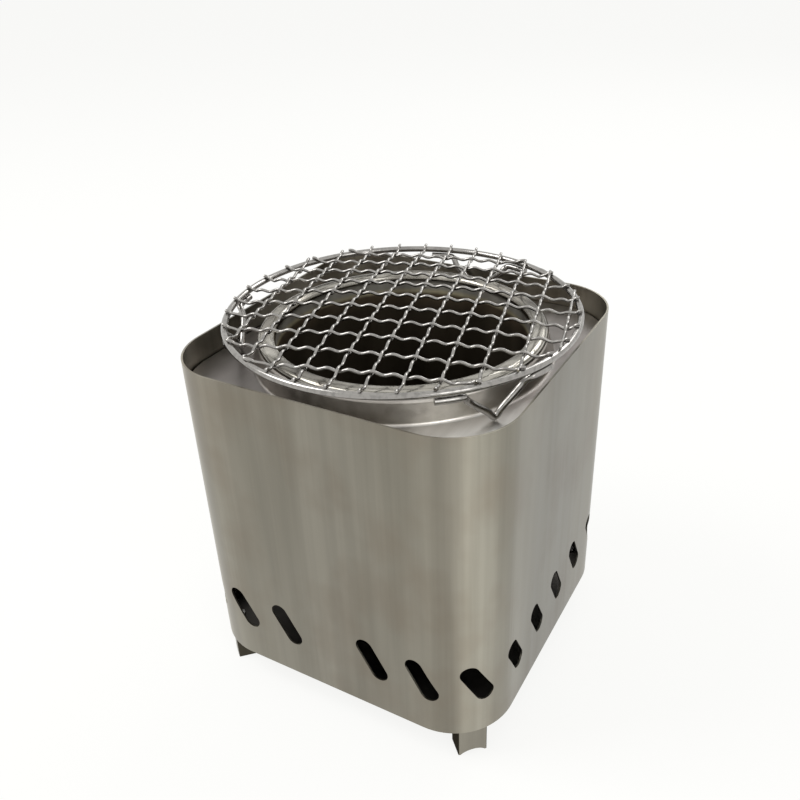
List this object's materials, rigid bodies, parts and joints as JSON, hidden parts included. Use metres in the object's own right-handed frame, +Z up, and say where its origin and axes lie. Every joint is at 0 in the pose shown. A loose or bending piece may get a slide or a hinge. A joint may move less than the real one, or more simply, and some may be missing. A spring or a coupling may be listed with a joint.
{
  "type": "tabletop fire pit",
  "caption": "Small square sheet-steel fire pit with rounded corners, slanted air slots, a round fire drum with a rolled lip and a round wire grill that lifts off.",
  "frame": {"origin": "on the table, under the middle of the square casing", "axes": "+Z up, -Y towards the wall with the seam, walls along X and Y"},
  "size_m": [0.1534, 0.1534, 0.1763],
  "materials": {
    "brushed_casing_steel": "warm grey brushed sheet with faint blotches",
    "inner_sheet_steel": "plain mill sheet",
    "drum_steel": "bright rolled sheet",
    "grate_steel": "dark heat-tinted sheet",
    "rivet_steel": "bright",
    "grill_wire_steel": "bright drawn wire"
  },
  "bodies": {
    "casing": {"outer_casing": "brushed_casing_steel", "seam_strip": "inner_sheet_steel", "top_plate": "brushed_casing_steel", "base_tray": "inner_sheet_steel", "foot_front": "brushed_casing_steel", "foot_right": "brushed_casing_steel", "foot_back": "brushed_casing_steel", "foot_left": "brushed_casing_steel", "foot_front_rivet_left": "rivet_steel", "foot_front_rivet_right": "rivet_steel", "foot_right_rivet_left": "rivet_steel", "foot_right_rivet_right": "rivet_steel", "foot_back_rivet_left": "rivet_steel", "foot_back_rivet_right": "rivet_steel", "foot_left_rivet_left": "rivet_steel", "foot_left_rivet_right": "rivet_steel", "fire_drum": "drum_steel", "drum_floor": "drum_steel"},
    "grill": {"grill_rim": "grill_wire_steel", "wire_net": "grill_wire_steel", "grill_leg_front": "grill_wire_steel", "grill_leg_left": "grill_wire_steel", "grill_leg_back": "grill_wire_steel"},
    "ash_pan": {"ash_pan": "inner_sheet_steel"},
    "fire_grate": {"fire_grate": "grate_steel", "grate_leg_left": "grate_steel", "grate_leg_front": "grate_steel", "grate_leg_back": "grate_steel"}
  },
  "joints": [
    {"name": "grill_lift", "type": "slide", "parent": "casing", "child": "grill", "axis": [0, 0, 1], "range_m": [0, 0.08]},
    {"name": "ash_pan_lift", "type": "slide", "parent": "casing", "child": "ash_pan", "axis": [0, 0, 1], "range_m": [0, 0.06]},
    {"name": "fire_grate_lift", "type": "slide", "parent": "ash_pan", "child": "fire_grate", "axis": [0, 0, 1], "range_m": [0, 0.045]}
  ]
}
